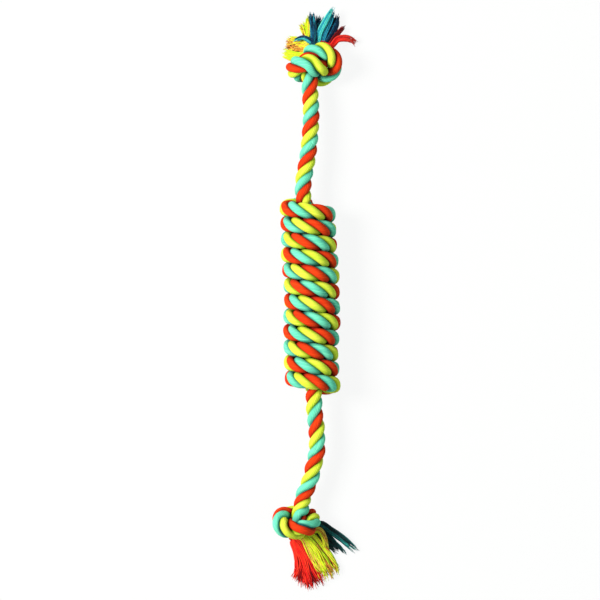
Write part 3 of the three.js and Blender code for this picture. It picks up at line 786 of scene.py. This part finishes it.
def lock_yarns(lock, root, level, last):
    """Yarns of one lock, from inside the knot to its frayed tip: their lines and their tones."""
    middle, share = lock_line(lock, root + lock.get("shift", np.zeros(3)), level, last)
    count = int(FEWEST + DENSITY * lock["width"] * lock["depth"])
    clumps = rng.uniform(-1, 1, (CLUMPS, 2)) * CLUMP_REACH
    lines, tones = [], []
    for m in range(count):
        # places of the yarns fill a round evenly
        own = math.sqrt((m + 0.5) / count) * np.array([math.cos(m * GOLDEN), math.sin(m * GOLDEN)])
        near = clumps[np.argmin(np.linalg.norm(clumps - own, axis=1))]
        cut = rng.uniform(*(CUT if m % LONG_EVERY else LONG_CUT))
        at = np.append(INSIDE_SHARES * share[0], OUTSIDE_SHARES * cut)
        free = np.maximum(at, 0)
        line = np.stack([np.interp(at, share, middle[:, k]) for k in range(3)], 1)
        right = unit(np.cross(headings(line), UP))
        spread = smooth(free, 0.0, SPREAD_BY)
        wide = STRAND_HALF * (1 - spread) + lock["width"] / 2 * spread
        wide = wide * (1 - lock.get("point", 0) * np.minimum(free, 1) ** 3)
        deep = STRAND_HALF * (1 - spread) + lock["depth"] / 2 * spread
        gather = CLUMP_PULL * smooth(free, CLUMP_FROM, 1.0)
        side = own[0] + (near[0] - own[0]) * gather
        lift = own[1] + (near[1] - own[1]) * gather
        waves = rng.uniform(*WAVES) * 2 * np.pi * free + rng.uniform(0, 2 * np.pi)
        curl = lock["curl"] * free ** CURL_GROWTH
        line = line + right * (side * wide + curl * np.sin(waves))[:, None]
        bob = LIFT_CURL * curl * np.sin(LIFT_WAVES * waves + LIFT_PHASE)
        line = line + UP * (lift * deep + bob)[:, None]
        lines.append(line)
        # tones across a lock: partly its yarns' own colours and partly painted light and shade
        tone = np.interp(own[0], [-1, 0, 1], lock["tones"]) + rng.normal(0, lock.get("mixed", MIXED))
        # painted shade: every so often a yarn is darker, as if the others shaded it
        tone = tone - (YARN_SHADE if m % SHADED_EVERY == SHADED_FIRST else 0)
        tones.append(np.clip(tone + lock.get("tip", 0) * free ** 2, 0, 1))
    return lines, tones


for end in (UPPER, LOWER):
    last = end["line"][-1]
    level = unit((last - end["line"][-LAST_POINTS]) * (1, 1, 0))
    across = np.array([level[1], -level[0], 0])
    for tuft in end["tufts"]:
        root = last + across * tuft["root"][0] + UP * tuft["root"][1] + level * ROOT_OUT
        lines, tones = [], []
        for lock in tuft["locks"]:
            more, shades = lock_yarns(lock, root, level, last)
            lines += [placed(line, end) for line in more]
            tones += shades
        name = f"{end['name']}_{tuft['name']}"
        radii = rng.uniform(*YARN_RADIUS, len(lines))
        made = tubes(name + "_yarn", lines, radii, tones, YARN[tuft["colour"]])
        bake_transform(made)
        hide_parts(name)

# The floor: a grey that light bounces from, a pale one for the eye that takes the shadow, and the share of
# the white backdrop that shows through it, so that a knot still shows where it hangs lower than the barrel.
# Half its side is in metres.
FLOOR_HALF = 4
FLOOR_BOUNCE = 0.5
FLOOR_SEEN = 0.85
FLOOR_CLEAR = 0.9


def straight_rays(tree):
    """One where the camera sees a surface directly, in a mirror or through glass."""
    seen = node(tree, "ShaderNodeLightPath").outputs
    rays = maths(tree, "MAXIMUM", seen["Is Camera Ray"], seen["Is Glossy Ray"])
    return maths(tree, "MAXIMUM", rays, seen["Is Transmission Ray"])


def mix_shaders(tree, factor, a, b, output):
    mix = node(tree, "ShaderNodeMixShader", {0: factor, 1: a.outputs[0], 2: b.outputs[0]})
    feed(tree, tree.nodes[output], {"Surface": mix.outputs[0]})


mesh = bpy.data.meshes.new("floor")
corners = [(x * FLOOR_HALF, y * FLOOR_HALF, 0) for x, y in ((-1, -1), (1, -1), (1, 1), (-1, 1))]
mesh.from_pydata(corners, [], [(0, 1, 2, 3)])
floor = add_object("floor", mesh)
paper, tree, shader = new_material("paper", {"Roughness": 0.9})
straight = straight_rays(tree)
grey = maths(tree, "MULTIPLY_ADD", straight, FLOOR_SEEN - FLOOR_BOUNCE, FLOOR_BOUNCE)
feed(tree, shader, {"Base Color": grey})
under = node(tree, "ShaderNodeNewGeometry").outputs["Backfacing"]
clear = maths(tree, "MAXIMUM", maths(tree, "MULTIPLY", straight, FLOOR_CLEAR), under)
mix_shaders(tree, clear, shader, node(tree, "ShaderNodeBsdfTransparent"), "Material Output")
mesh.materials.append(paper)

# Light: a pale sky, seen as a white backdrop, and two soft lamps
world = bpy.data.worlds.new("world")
scene.world = world
world.use_nodes = True
tree = world.node_tree
sky = tree.nodes["Background"]
feed(tree, sky, {"Color": (0.75, 1, 0.97, 1), "Strength": 0.18})
white = node(tree, "ShaderNodeBackground", {"Color": (1, 1, 1, 1), "Strength": 1.0})
mix_shaders(tree, straight_rays(tree), sky, white, "World Output")


def lamp(name, at, size, power, colour):
    """A square lamp, in metres and watts, that faces the floor under the middle of the barrel."""
    data = bpy.data.lights.new(name, "AREA")
    data.size = size
    data.energy = power
    data.color = colour
    made = add_object(name, data)
    made.location = at
    x, y, z = -unit(np.array(at))
    made.rotation_euler = (math.atan2(math.hypot(x, y), -z), 0, math.atan2(x, -y) + math.pi)


lamp("key", at=(-1.45, 0.4, 1.65), size=0.8, power=66, colour=(1, 0.97, 0.92))
lamp("fill", at=(1.2, -0.5, 1.6), size=1.4, power=10, colour=(0.75, 1, 0.85))

scene.view_settings.view_transform = "Standard"
